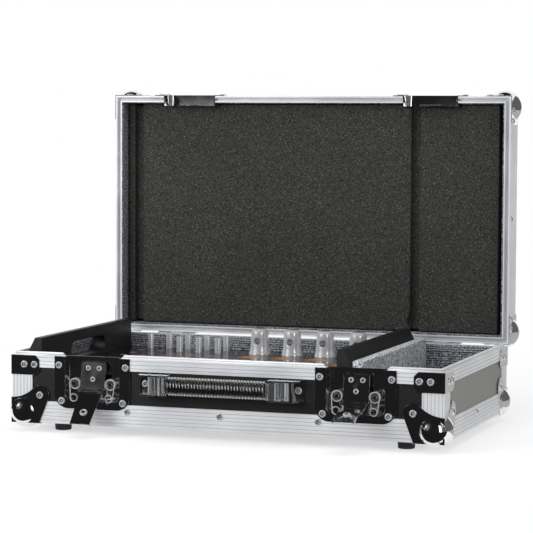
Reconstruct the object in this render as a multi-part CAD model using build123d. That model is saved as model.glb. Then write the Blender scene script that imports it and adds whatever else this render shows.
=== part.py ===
from build123d import *
import os

os.makedirs("parts", exist_ok=True)

# Case shell, over the aluminium edging
case_width = 610.0
case_depth = 355.0
base_height = 92.5
lid_height = 44.5
foot_height = 13.0
foot_radius = 12.0
foot_inset_x = 60.0
foot_inset_y = 36.5
foot_hole = 5.5
foot_bore = 2.0
foot_seat = 6.0
foot_screw = 14.0
foot_screw_head = 3.0

# Boards, edging and closing rails
board = 7.0
edge = 1.5
edge_leg = 30.0
rail_leg = 16.7
rail_web = 1.6
rail_width = 9.7
rail_inner_leg = 10.0
rail_end_chamfer = 5.0
tongue_start = 3.6
tongue_width = 3.0
tongue_height = 4.5
groove_clear = 0.4
groove_depth = 5.2
rim_gap = 0.3

# Corner hardware
plate = 1.2
corner_front_leg = 41.0
corner_side_leg = 46.0
corner_plate_height = 27.0
corner_chamfer = 6.0
corner_rivets = (18.4, 33.4)
corner_rivet_drop = 12.5
ball_radius = 24.0
ball_inset = 15.0
wing_reach = 41.0
wing_neck = 34.0
wing_lobe = 13.5
wing_lobe_x = 41.5
wing_lobe_y = 38.0
under_wing = 43.0
under_wing_cut = 12.0
under_rivet = 32.0
lid_rivet_rise = 11.0

# Rivets and screws
rivet_radius = 4.2
rivet_rise = 1.6
rivet_shank = 1.9
rivet_depth = 5.0
rail_screw_radius = 3.7
rail_screw_x = (-135.0, -2.3, 134.7)
rail_screw_y = -2.0
rail_screw_rise = 20.6

# Latch dishes
latch_from_end = 119.0
dish_width = 111.0
dish_bottom = 21.6
dish_radius = 20.0
recess_width = 79.4
recess_bottom = 33.0
recess_depth = 14.5
recess_corner = 8.0
dish_rivet_x = 48.8
dish_rivet_low_x = 44.8
dish_rivet_top = 12.0
dish_rivet_low = 10.4
lid_dish_height = 37.0
lid_recess_height = 27.5
panel_cut_clear = 0.3

# Latch hooks, at the shown open position
hook_width = 35.5
hook_thick = 1.6
hook_bottom = 49.0
hook_top = 85.0
hook_lean = 6.0
hook_front = 0.3
hook_lip_back = 2.3
hook_lip = 1.4
hook_side = 1.2
hook_side_bottom = 67.0
hook_rivets = ((-7.5, 77.5), (8.5, 77.5), (0.0, 62.7))
hook_rivet_radius = 2.4
hook_rivet_rise = 1.0
keeper_radius = 1.2
keeper_out = 0.8
keeper_rise = 2.7
keeper_clear = 0.5

# Latch levers
lever_length = 55.0
lever_root_half = 16.5
lever_tip_half = 14.5
lever_web_front = 1.0
lever_web_back = 0.5
lever_flange = 1.2
lever_flange_back = 3.0
lever_pivot_z = 46.0
lever_pivot_out = 3.0
lever_knuckle = 3.4
lever_knuckle_over = 0.4
lever_pin = 1.5
lever_pin_clear = 0.05
lever_stud_down = 36.0
lever_stud = 3.6
lever_shown = (45.0, 74.0)
cheek = 1.6
cheek_clear = 0.35
cheek_bottom = 36.0
cheek_top = 50.2

# Latch springs
coil_out = 25.8
coil_z = 56.0
coil_radius = 7.4
coil_wire = 1.8
coil_turns = 4
coil_overlap = 0.05
coil_collar = 6.5
coil_post = 3.0
coil_post_out = 15.0
arm_foot_x = 21.0
arm_foot_z = 38.0

# Carrying handle
handle_drop = 32.0
handle_out = 16.0
grip_half = 70.0
grip_core = 10.0
sleeve_gap = 0.1
sleeve_radius = 12.7
sleeve_root = 11.2
sleeve_wire = 3.4
sleeve_pitch = 3.9
handle_end_length = 21.0
handle_end_front = 25.0
handle_end_back = 4.0
handle_pull = 6.0
bracket_half = 14.0
bracket_thick = 2.0
bracket_gap = 0.5
bracket_plate_inset = 4.5
bracket_length = 45.0
bracket_lip_inset = 2.5
bracket_depth = 23.0
bracket_chamfer = 7.0
bracket_rivet_inset = 7.5
handle_pin_radius = 2.0
handle_pin_from = 11.5
stop_pin_from = 27.0
handle_pin_out = 13.5
handle_pin_head = 0.8
small_clear = 0.3

# Hinges
hinge_out = 4.75
hinge_rise = 3.45
hinge_from_end = 100.0
hinge_width = 60.0
hinge_knuckle_width = 20.0
hinge_leaf = 1.6
hinge_leaf_height = 26.0
hinge_leaf_drop = 2.2
hinge_knuckle = 3.4
hinge_pin = 1.75
hinge_pin_clear = 0.06
hinge_gap = 0.3
hinge_web = 7.0
hinge_heel = 7.5
hinge_rivet_x = 19.0
hinge_rivet_z = 17.0

# Tray
seat_gap = 0.15
tray_end_clear = 3.0
tray_left_clear = 5.0
tray_right_clear = 1.5
tray_rise = 22.0
tray_panel_top = 10.0
tray_panel_base = 20.0
tray_slope_height = 18.5
tray_board_drop = 19.2
tray_board = 12.0
deck_board = 6.0
deck_drop = 40.0
hand_hole_length = 120.0
hand_hole_height = 23.0
hand_hole_rise = 2.5
hand_hole_corner = 11.0
tray_screw_radius = 3.0
tray_screw_rise = 0.7
tray_screw_inset = 40.0

# Holes in the tray board and what stands in them
big_pitch = 50.0
big_rows = 4
big_columns = 4
big_first_x = -50.0
big_from_end = 39.0
big_hole = 17.0
small_pitch_x = 30.0
small_pitch_y = 35.0
small_rows = 4
small_columns = 5
small_first_x = -230.0
small_from_end = 18.0
small_hole = 5.35
pin_radius = 4.9
pin_above = 22.2
pin_chamfer = 0.6
pin_places = [(0, 0), (1, 0), (2, 0), (3, 0), (4, 0), (2, 1), (3, 1), (4, 1)]
spigot_foot = 15.7
spigot_shoulder = 14.9
spigot_head = 12.7
spigot_above = 36.2
spigot_shoulder_rise = 3.0
spigot_cross_hole = 5.0
spigot_cross_rise = 19.0
spigot_bore = 6.0
spigot_bore_depth = 18.0

# Linings
felt = 2.5
base_felt_top = 10.5
lid_felt_from = 10.3
divider_thick = 14.5
compartment_width = 103.5
divider_rise = 3.5
foam_recess = 18.5
foam_gap = 1.2
foam_left_gap = 3.0
foam_right_gap = 9.5
foam_groove_gap = 2.2

# Heights and planes that follow
edge_bottom = foot_height
split = edge_bottom + base_height
lid_rim = split + rim_gap
lid_top = lid_rim + lid_height
front = -case_depth / 2
wall_inner = edge + board
lining = wall_inner + felt
floor_top = edge_bottom + wall_inner + felt
board_top = split - tray_board_drop
deck_top = board_top - deck_drop
latch_x = (latch_from_end - case_width / 2, case_width / 2 - latch_from_end)
hinge_x = case_width / 2 - hinge_from_end
hinge_y = case_depth / 2 + hinge_out
hinge_z = lid_rim - hinge_rise
recess_floor = front + recess_depth
panel_front = front + edge
handle_z = base_height - handle_drop
keeper_width = hook_width - 2 * (hook_side + keeper_clear)
inner_x = case_width / 2 - lining
tray_half = -recess_floor - tray_end_clear
divider_to = inner_x - compartment_width
divider_from = divider_to - divider_thick
tray_inner_left = tray_left_clear + tray_panel_base - inner_x
tray_inner_right = divider_from - tray_right_clear - tray_panel_base
tray_screw_y = (tray_screw_inset - tray_half, 0, tray_half - tray_screw_inset)
big_last_y = tray_half - big_from_end
small_last_y = tray_half - small_from_end
bracket_lip_from = grip_half + bracket_gap
bracket_plate_from = bracket_lip_from + bracket_plate_inset
bracket_plate_to = bracket_lip_from + bracket_length
bracket_lip_to = bracket_plate_to - bracket_lip_inset
bracket_rivet_x = bracket_plate_to - bracket_rivet_inset
handle_pin_x = grip_half + handle_pin_from
stop_pin_x = grip_half + stop_pin_from

parts = {}


def add(node, shapes):
    """Keep the solids of a node."""
    for shape in shapes if isinstance(shapes, (list, tuple)) else [shapes]:
        parts.setdefault(node, []).extend(shape.solids())


def box(x, y, z):
    """A block between pairs of limits along X, Y and Z."""
    middle = [(a + b) / 2 for a, b in (x, y, z)]
    sizes = [abs(b - a) for a, b in (x, y, z)]
    return Pos(*middle) * Box(*sizes)


def outline_x(points, x0, x1):
    """A prism along X with its outline given as (y, z)."""
    face = Plane.YZ * make_face(Polyline(*points, close=True))
    return Pos(x0, 0, 0) * extrude(face, amount=x1 - x0, dir=(1, 0, 0))


def outline_y(points, y0, y1):
    """A prism along Y with its outline given as (x, z)."""
    face = Plane.XZ * make_face(Polyline(*points, close=True))
    return Pos(0, y0, 0) * extrude(face, amount=y1 - y0, dir=(0, 1, 0))


def outline_z(points, z0, z1):
    """A prism along Z with its outline given as (x, y)."""
    face = Plane.XY * make_face(Polyline(*points, close=True))
    return Pos(0, 0, z0) * extrude(face, amount=z1 - z0, dir=(0, 0, 1))


def rod(radius, start, end):
    """A round rod from one point to another."""
    a, b = Vector(*start), Vector(*end)
    return Plane(origin=a, z_dir=b - a) * extrude(Circle(radius), amount=(b - a).length)


def sides(width, depth):
    """The four sides of a rectangle, each as a place whose +X runs along it and +Y points inwards."""
    return {
        "front": (Pos(0, -depth / 2, 0), width),
        "back": (Pos(0, depth / 2, 0) * Rot(0, 0, 180), width),
        "left": (Pos(-width / 2, 0, 0) * Rot(0, 0, -90), depth),
        "right": (Pos(width / 2, 0, 0) * Rot(0, 0, 90), depth),
    }


def mitred_bar(section, length, reach):
    """A bar along X with the section given as (inwards, up) and both ends mitred at 45 degrees."""
    half = length / 2
    heights = [z for _, z in section]
    plan = [(-half, 0), (half, 0), (half - reach, reach), (reach - half, reach)]
    return outline_x(section, -half, half) & outline_z(plan, min(heights) - 1, max(heights) + 1)


def four_corners(shape):
    """A right front corner piece copied to all four corners."""
    left = mirror(shape, about=Plane.YZ)
    return [shape, left, mirror(shape, about=Plane.XZ), mirror(left, about=Plane.XZ)]


def dome(radius, rise):
    """A shallow dome standing on the plane Z = 0."""
    ball = (radius**2 + rise**2) / (2 * rise)
    return Pos(0, 0, rise - ball) * Sphere(ball) & Pos(0, 0, rise) * Box(4 * radius, 4 * radius, 2 * rise)


def rivet(point, outwards, radius=rivet_radius):
    """A domed rivet on a surface, with its shank driven into what it holds."""
    place = Plane(origin=point, z_dir=outwards)
    shank = Pos(0, 0, -rivet_depth / 2) * Cylinder(rivet_shank, rivet_depth)
    return place * (dome(radius, rivet_rise) + shank)


def lid_turn():
    """The turn about the hinge line that carries the shut lid to its open place."""
    return Pos(0, hinge_y, hinge_z) * Rot(-90, 0, 0) * Pos(0, -hinge_y, -hinge_z)


def add_lid(node, shapes):
    """Keep pieces of the lid that are given with the lid shut."""
    turned = [lid_turn() * shape for shape in (shapes if isinstance(shapes, (list, tuple)) else [shapes])]
    add(node, turned)


def recess_block(x, z0, z1, grow):
    """The room of a latch recess grown all round, with rounded corners at the end z0 and open past z1."""
    low, high = min(z0, z1), max(z0, z1)
    past = recess_width / 2
    low, high = (low - grow, high + past) if z0 < z1 else (low - past, high + grow)
    face = RectangleRounded(recess_width + 2 * grow, high - low, recess_corner + grow)
    middle = Plane(origin=(x, recess_floor + grow, (low + high) / 2), x_dir=(1, 0, 0), z_dir=(0, -1, 0))
    return middle * extrude(face, amount=recess_depth + grow + 20)


def dish(x, z_round, z_open, flange_round):
    """A latch dish: a riveted flange round a pressed recess that is open at the closing line."""
    way = 1 if z_open > z_round else -1
    half = dish_width / 2
    past = z_open + way * 80
    face = RectangleRounded(dish_width, abs(past - flange_round), dish_radius)
    middle = Plane(origin=(x, front, (flange_round + past) / 2), x_dir=(1, 0, 0), z_dir=(0, -1, 0))
    flange = middle * extrude(face, amount=plate)
    tub = recess_block(x, z_round, z_open, plate)
    pressed = flange + tub - recess_block(x, z_round, z_open, 0)
    return pressed & box((x - half, x + half), (front - plate, recess_floor + plate), (flange_round, z_open))


def base_cuts(grow):
    """Both latch dishes as cutting shapes for the boards and the lining of the base."""
    return [recess_block(x, edge_bottom + recess_bottom, split, plate + grow) for x in latch_x]


def lid_cuts(grow):
    """Both half dishes as cutting shapes for the shut lid."""
    return [recess_block(x, lid_rim + lid_recess_height, lid_rim, plate + grow) for x in latch_x]


def cut_all(shape, cuts):
    """A shape with each cutting shape taken away."""
    for cut in cuts:
        shape -= cut
    return shape


def make_base_boards():
    """The plywood box: floor between the walls, long walls over the short ones."""
    half_x = case_width / 2 - edge
    half_y = case_depth / 2 - edge
    low = edge_bottom + edge
    high = split - rail_web
    inner_x, inner_y = half_x - board, half_y - board
    add("base_bottom_panel", box((-inner_x, inner_x), (-inner_y, inner_y), (low, low + board)))
    front_wall = box((-half_x, half_x), (-half_y, -inner_y), (low, high))
    add("base_front_panel", cut_all(front_wall, base_cuts(panel_cut_clear)))
    add("base_back_panel", box((-half_x, half_x), (inner_y, half_y), (low, high)))
    add("base_left_panel", box((-half_x, -inner_x), (-inner_y, inner_y), (low, high)))
    add("base_right_panel", box((inner_x, half_x), (-inner_y, inner_y), (low, high)))


def angle_section(low, leg_up, leg_in, sign):
    """An L section: one leg up the wall, one leg under or over the board."""
    web = low + sign * edge
    tip = low + sign * leg_up
    return [(0, low), (leg_in, low), (leg_in, web), (edge, web), (edge, tip), (0, tip)]


def make_base_edging():
    """Aluminium angle round the bottom and up the four corners."""
    section = angle_section(edge_bottom, edge_leg, edge_leg, 1)
    places = sides(case_width, case_depth).values()
    add("base_bottom_edging", [place * mitred_bar(section, length, edge_leg) for place, length in places])
    x, y = case_width / 2, case_depth / 2
    plan = [(x, -y), (x, -y + edge_leg), (x - edge, -y + edge_leg)]
    plan += [(x - edge, -y + edge), (x - edge_leg, -y + edge), (x - edge_leg, -y)]
    add("base_corner_edging", four_corners(outline_z(plan, edge_bottom + edge_leg, split - rail_leg)))


def male_section(with_tongue):
    """The base's closing rail, with its tongue standing above the closing line."""
    end = tongue_start + tongue_width
    tip = split + tongue_height
    tongue = [(end, split), (end, tip), (tongue_start, tip), (tongue_start, split)]
    outer = [(0, split), (0, split - rail_leg), (edge, split - rail_leg), (edge, split - rail_web)]
    inner = [(wall_inner, split - rail_web), (wall_inner, split - rail_inner_leg)]
    inner += [(rail_width, split - rail_inner_leg), (rail_width, split)]
    return outer + inner + (tongue if with_tongue else [])


def female_section():
    """The lid's closing rail, shut, with the groove that the tongue enters."""
    z = lid_rim
    start, end = tongue_start - groove_clear, tongue_start + tongue_width + groove_clear
    groove = z + groove_depth
    roof = groove + rail_web
    outer = [(0, z), (start, z), (start, groove), (end, groove), (end, z), (rail_width, z)]
    inner = [(rail_width, z + rail_inner_leg), (wall_inner, z + rail_inner_leg), (wall_inner, roof)]
    return outer + inner + [(edge, roof), (edge, z + rail_leg), (0, z + rail_leg)]


def rail_gaps(low, slope_from, high):
    """What the latch recesses take from a front rail, wider towards the top so that its tongue ends slope."""
    cuts = []
    for x in latch_x:
        half = recess_width / 2 + plate + panel_cut_clear
        wide = half + rail_end_chamfer
        right = [(x + half, low), (x + half, slope_from), (x + wide, high)]
        left = [(x - wide, high), (x - half, slope_from), (x - half, low)]
        cuts.append(outline_y(right + left, front - 5, front + rail_width + 5))
    return cuts


def make_closing_rails():
    """The closing rails of the base: the front one stops at the latches, the rear one has no tongue."""
    for name, (place, length) in sides(case_width, case_depth).items():
        bar = place * mitred_bar(male_section(name != "back"), length, rail_width)
        if name == "front":
            bar = cut_all(bar, rail_gaps(split - edge_leg, split, split + tongue_height + 1))
        add("base_closing_rails", bar)


def make_corner_plates():
    """Folded plates round the four upper corners of the base, and their rivets."""
    x, y = case_width / 2, case_depth / 2
    high = split - small_clear
    low = high - corner_plate_height
    c = corner_chamfer
    left, back = x - corner_front_leg, -y + corner_side_leg
    front_face = [(x, low), (left + c, low), (left, low + c), (left, high - c), (left + c, high), (x, high)]
    front_face = [(x + plate, low)] + front_face[1:-1] + [(x + plate, high)]
    side_face = [(-y, low), (back - c, low), (back, low + c), (back, high - c), (back - c, high), (-y, high)]
    piece = outline_y(front_face, -y - plate, -y) + outline_x(side_face, x, x + plate)
    add("base_top_corners", four_corners(piece))
    z = high - corner_rivet_drop
    for u in corner_rivets:
        add("base_rivets", four_corners(rivet((x - u, -y - plate, z), (0, -1, 0))))
        add("base_rivets", four_corners(rivet((x + plate, -y + u + 2, z), (1, 0, 0))))


def wing_face():
    """A pressed wing of a ball corner as (along, up) from the corner, with a round lobe for its rivet."""
    a, b = (wing_reach, -plate), (wing_lobe_x + wing_lobe, wing_lobe_y - 3)
    c, d = (wing_lobe_x - 7, wing_lobe_y + wing_lobe * 0.86), (0, wing_neck)
    lines = [
        Line((-plate, -plate), a),
        Line(a, b),
        ThreePointArc(b, (wing_lobe_x + 0.7 * wing_lobe, wing_lobe_y + 0.71 * wing_lobe), c),
        ThreePointArc(c, (wing_neck / 2 + 1, wing_neck + 4), d),
        Line(d, (-plate, wing_neck)),
        Line((-plate, wing_neck), (-plate, -plate)),
    ]
    return make_face(lines)


def plain_wing(u, v, cut):
    """A wing with its far corner cut off, folded round the edges of the corner."""
    points = [(-plate, -plate), (u, -plate), (u, v - cut), (u - cut, v), (-plate, v)]
    return make_face(Polyline(*points, close=True))


def right_front_corner(z, up, wall_face, flat_face):
    """A ball corner on the right front corner at height z: wings on three faces and the cap of the ball."""
    x, y = case_width / 2, case_depth / 2
    on_front = Plane(origin=(x, -y, z), x_dir=(-1, 0, 0), z_dir=(0, up, 0))
    on_side = Plane(origin=(x, -y, z), x_dir=(0, 1, 0), z_dir=(up, 0, 0))
    on_flat = Plane(origin=(x, -y, z), x_dir=(-1, 0, 0), z_dir=(0, 0, -1))
    wings = [
        on_front * extrude(wall_face, amount=-up * plate),
        on_side * extrude(wall_face, amount=up * plate),
        on_flat * extrude(flat_face, amount=up * plate),
    ]
    room = 3 * ball_radius
    solid = box((x - room, x), (-y, -y + room), (z, z + up * room))
    piece = Pos(x - ball_inset, -y + ball_inset, z + up * ball_inset) * Sphere(ball_radius) - solid
    for shape in wings:
        piece += shape
    return piece


def make_ball_corners():
    """Ball corners under the base and on top of the lid, with their rivets."""
    x, y = case_width / 2, case_depth / 2
    low = right_front_corner(edge_bottom, 1, wing_face(), plain_wing(under_wing, under_wing, under_wing_cut))
    add("base_ball_corners", four_corners(low))
    z = edge_bottom + wing_lobe_y
    add("base_rivets", four_corners(rivet((x - wing_lobe_x, -y - plate, z), (0, -1, 0))))
    add("base_rivets", four_corners(rivet((x + plate, -y + wing_lobe_x, z), (1, 0, 0))))
    u = under_rivet
    add("base_rivets", four_corners(rivet((x - u, -y + u, edge_bottom - plate), (0, 0, -1))))
    wall = plain_wing(wing_reach, lid_height - rim_gap, corner_chamfer)
    high = right_front_corner(lid_top, -1, wall, wing_face())
    add_lid("lid_ball_corners", four_corners(high))
    for u in corner_rivets:
        z = lid_rim + lid_rivet_rise
        add_lid("lid_rivets", four_corners(rivet((x - u, -y - plate, z), (0, -1, 0))))
        add_lid("lid_rivets", four_corners(rivet((x + plate, -y + u + 2, z), (1, 0, 0))))
    top = rivet((x - wing_lobe_x, -y + wing_lobe_y, lid_top + plate), (0, 0, 1))
    add_lid("lid_rivets", four_corners(top))


def make_rail_screws():
    """Screws along the bottom edging, and one in each side of the lid."""
    z = edge_bottom + rail_screw_rise
    for x in rail_screw_x:
        screw = rivet((x, front, z), (0, -1, 0), rail_screw_radius)
        add("base_rail_screws", [screw, mirror(screw, about=Plane.XZ)])
    for x, way in ((case_width / 2, 1), (-case_width / 2, -1)):
        add("base_rail_screws", rivet((x, rail_screw_y, z), (way, 0, 0), rail_screw_radius))
        place = (x, rail_screw_y, lid_rim + lid_rivet_rise)
        add_lid("lid_rivets", rivet(place, (way, 0, 0), rail_screw_radius))


def lever_cheeks(x):
    """The two cheeks of a base dish that hold the lever's pin, and the posts of the springs."""
    inner = hook_width / 2 + cheek_clear
    y, z = front - lever_pivot_out, edge_bottom + lever_pivot_z
    low, high = edge_bottom + cheek_bottom, edge_bottom + cheek_top
    points = [(recess_floor, low), (y, low), (y - lever_knuckle, z - 3), (y - lever_knuckle, z + 3)]
    points += [(y, high), (recess_floor, high)]
    shapes = []
    for way in (-1, 1):
        a, b = x + way * inner, x + way * (inner + cheek)
        shapes.append(outline_x(points, min(a, b), max(a, b)))
        post = (x + way * coil_out, recess_floor, edge_bottom + coil_z)
        collar = (post[0], recess_floor - coil_collar, post[2])
        tip = (post[0], recess_floor - coil_post_out, post[2])
        shapes += [rod(coil_collar, post, collar), rod(coil_post, post, tip)]
    return shapes


def make_dishes():
    """The latch dishes of the base and of the lid, with their rivets and the keeper ribs."""
    for x in latch_x:
        body = dish(x, edge_bottom + recess_bottom, split, edge_bottom + dish_bottom)
        for shape in lever_cheeks(x):
            body += shape
        add("latch_dishes", body)
        half = dish(x, lid_rim + lid_recess_height, lid_rim, lid_rim + lid_dish_height)
        y, z = recess_floor - keeper_out, lid_rim + keeper_rise
        near, far = x - keeper_width / 2, x + keeper_width / 2
        rib = rod(keeper_radius, (near, y, z), (far, y, z))
        rib += box((near, far), (y, recess_floor), (z - keeper_radius, z + keeper_radius))
        rib &= box((near, far), (front, recess_floor), (lid_rim, lid_top))
        add_lid("lid_latch_keepers", half + rib)
        for way in (-1, 1):
            wide, narrow = x + way * dish_rivet_x, x + way * dish_rivet_low_x
            low, high = edge_bottom + dish_bottom + dish_rivet_low, lid_rim + lid_dish_height - dish_rivet_low
            face = front - plate
            add("base_rivets", rivet((wide, face, split - dish_rivet_top), (0, -1, 0)))
            add("base_rivets", rivet((narrow, face, low), (0, -1, 0)))
            add_lid("lid_rivets", rivet((wide, face, lid_rim + dish_rivet_top), (0, -1, 0)))
            add_lid("lid_rivets", rivet((narrow, face, high), (0, -1, 0)))


def make_hook(x, name):
    """The hook plate: it leans back, has side flanges near its top and a lip that catches the keeper."""
    low, high = edge_bottom + hook_bottom, edge_bottom + hook_top
    y0 = front - hook_front
    y1 = y0 + hook_lean
    back = y1 + hook_thick + hook_lip_back - hook_lip / 2
    half = hook_width / 2
    points = [(y0, low), (y1, high), (y1 + hook_thick, high), (y0 + hook_thick, low)]
    body = outline_x(points, x - half, x + half)
    slope = hook_lean / (high - low)
    lip = [(y1 - slope * hook_lip, high - hook_lip), (y1, high), (back, high), (back, high - hook_lip)]
    body += outline_x(lip, x - half, x + half)
    side_low = edge_bottom + hook_side_bottom
    y_low = y0 + slope * (side_low - low)
    flange = [(y_low, side_low), (y1, high), (back, high), (back, side_low + 3)]
    body += outline_x(flange, x - half, x - half + hook_side)
    body += outline_x(flange, x + half - hook_side, x + half)
    for dx, z in hook_rivets:
        y = y0 + slope * (edge_bottom + z - low)
        place = Plane(origin=(x + dx, y, edge_bottom + z), z_dir=(0, -(high - low), hook_lean))
        head = dome(hook_rivet_radius, hook_rivet_rise)
        body += place * (head + Pos(0, 0, -hook_thick / 4) * Cylinder(hook_rivet_radius, hook_thick / 2))
    add(f"latch_{name}_hook", body)


def make_lever(x, name, shown):
    """The lever: a folded tongue on a knuckle, drawn hanging and then swung to its shown angle."""
    half = lever_root_half
    web = [(-half, 0), (half, 0), (lever_tip_half, -lever_length), (-lever_tip_half, -lever_length)]
    body = outline_y(web, -lever_web_front, lever_web_back)
    for way in (-1, 1):
        a, b = way * half, way * lever_tip_half
        inner = way * lever_flange
        strip = [(a, -lever_knuckle / 2), (a - inner, -lever_knuckle / 2)]
        strip += [(b - inner, -lever_length), (b, -lever_length)]
        body += outline_y(strip, -lever_web_front, lever_flange_back)
    body += Rot(0, 90, 0) * Cylinder(lever_knuckle, 2 * (half + lever_knuckle_over))
    stud = Plane(origin=(0, -lever_web_front, -lever_stud_down), z_dir=(0, -1, 0))
    body += stud * (dome(lever_stud, rivet_rise) + Pos(0, 0, -0.3) * Cylinder(lever_stud, 0.6))
    body -= Rot(0, 90, 0) * Cylinder(lever_pin + lever_pin_clear, 4 * half)
    place = Pos(x, front - lever_pivot_out, edge_bottom + lever_pivot_z) * Rot(-shown, 0, 0)
    add(f"latch_{name}_lever", place * body)


def make_springs(x):
    """Two coil springs beside a hook, each on its post, with an arm down to the cheek."""
    z = edge_bottom + coil_z
    ring = coil_radius - coil_wire / 2
    step = coil_wire - coil_overlap
    first = recess_floor - coil_collar - coil_wire / 2
    for way in (-1, 1):
        face = Sketch()
        for turn in range(coil_turns):
            face += Pos(ring, first - turn * step) * Circle(coil_wire / 2)
        centre = x + way * coil_out
        coil = Pos(centre, 0, z) * revolve(face, axis=Axis.Y, revolution_arc=360)
        y = first - (coil_turns - 1) * step
        foot = x + way * arm_foot_x
        low = edge_bottom + arm_foot_z
        wire = coil_wire / 2
        arm = rod(wire, (centre, y, z - ring), (foot, y, low)) + Pos(foot, y, low) * Sphere(wire)
        arm += rod(wire, (foot, y, low), (x + way * (hook_width / 2 + cheek_clear + cheek), y, low))
        add("latch_springs", coil + arm)


def make_latches():
    """Hooks, levers, springs and lever pins of both latches."""
    for x, name, shown in zip(latch_x, ("left", "right"), lever_shown):
        make_hook(x, name)
        make_lever(x, name, shown)
        make_springs(x)
        reach = hook_width / 2 + cheek_clear + cheek + 0.6
        y, z = front - lever_pivot_out, edge_bottom + lever_pivot_z
        add("latch_lever_pins", rod(lever_pin, (x - reach, y, z), (x + reach, y, z)))


def make_handle():
    """The spring covered grip between two clear ends, and the folded brackets that hold it."""
    y, z = panel_front - bracket_thick - handle_out, edge_bottom + handle_z
    add("handle_grip_core", Pos(0, y, z) * Rot(0, 90, 0) * Cylinder(grip_core, 2 * grip_half))
    bore = grip_core + sleeve_gap
    face = Pos(0, (sleeve_root + bore) / 2) * Rectangle(2 * grip_half, sleeve_root - bore)
    coils = int((2 * grip_half - sleeve_wire) / sleeve_pitch) + 1
    for i in range(coils):
        x = (i - (coils - 1) / 2) * sleeve_pitch
        bump = Pos(x, sleeve_radius - sleeve_wire / 2) * Circle(sleeve_wire / 2)
        face += bump & Pos(x, sleeve_radius) * Rectangle(sleeve_wire, 2 * (sleeve_radius - bore))
    add("handle_spring_sleeve", Pos(0, y, z) * revolve(face, axis=Axis.X, revolution_arc=360))
    pin_y = panel_front - bracket_thick - handle_pin_out
    for way in (-1, 1):
        add("handle_ends", handle_end(way, pin_y, z))
        add("handle_brackets", handle_bracket(way, z))
        for x in (way * handle_pin_x, way * stop_pin_x):
            reach = bracket_half + handle_pin_head
            add("handle_pins", rod(handle_pin_radius, (x, pin_y, z - reach), (x, pin_y, z + reach)))
        add("base_rivets", rivet((way * bracket_rivet_x, panel_front - bracket_thick, z), (0, -1, 0)))


def handle_end(way, pin_y, z):
    """A clear block on the end of the grip, slotted so that it can be drawn out along its pin."""
    near, far = way * grip_half, way * (grip_half + handle_end_length)
    half = bracket_half - bracket_thick - small_clear
    back = panel_front - bracket_thick - handle_end_back
    block = box((near, far), (panel_front - bracket_thick - handle_end_front, back), (z - half, z + half))
    block = fillet(block.edges().filter_by(Axis.Z), 3)
    radius = handle_pin_radius + small_clear
    slot = SlotOverall(handle_pull + 2 * radius, 2 * radius, rotation=90)
    cut = extrude(slot, amount=handle_end_front, both=True)
    return block - Pos(way * handle_pin_x, pin_y + handle_pull / 2, z) * cut


def handle_bracket(way, z):
    """A folded bracket: a plate on the panel and two lips that hold the pins."""
    face = panel_front - bracket_thick
    across = (way * bracket_plate_from, way * bracket_plate_to)
    back = box(across, (face, panel_front), (z - bracket_half, z + bracket_half))
    near, far = way * bracket_lip_from, way * bracket_lip_to
    cut = way * (bracket_lip_to - bracket_chamfer)
    y = panel_front - bracket_depth
    lip = [(near, face), (near, y), (cut, y), (far, y + bracket_chamfer), (far, face)]
    low = outline_z(lip, z - bracket_half, z - bracket_half + bracket_thick)
    high = outline_z(lip, z + bracket_half - bracket_thick, z + bracket_half)
    foot = box((near, far), (face, panel_front), (z - bracket_half, z - bracket_half + bracket_thick))
    head = box((near, far), (face, panel_front), (z + bracket_half - bracket_thick, z + bracket_half))
    return back + low + high + foot + head


def knuckles(x, places, web):
    """Hinge knuckles on the hinge line with the web that joins them to a leaf."""
    shapes = []
    for near, far in places:
        roll = rod(hinge_knuckle, (x + near, hinge_y, hinge_z), (x + far, hinge_y, hinge_z))
        shapes.append(roll + outline_x(web, x + near, x + far))
    return shapes


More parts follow.
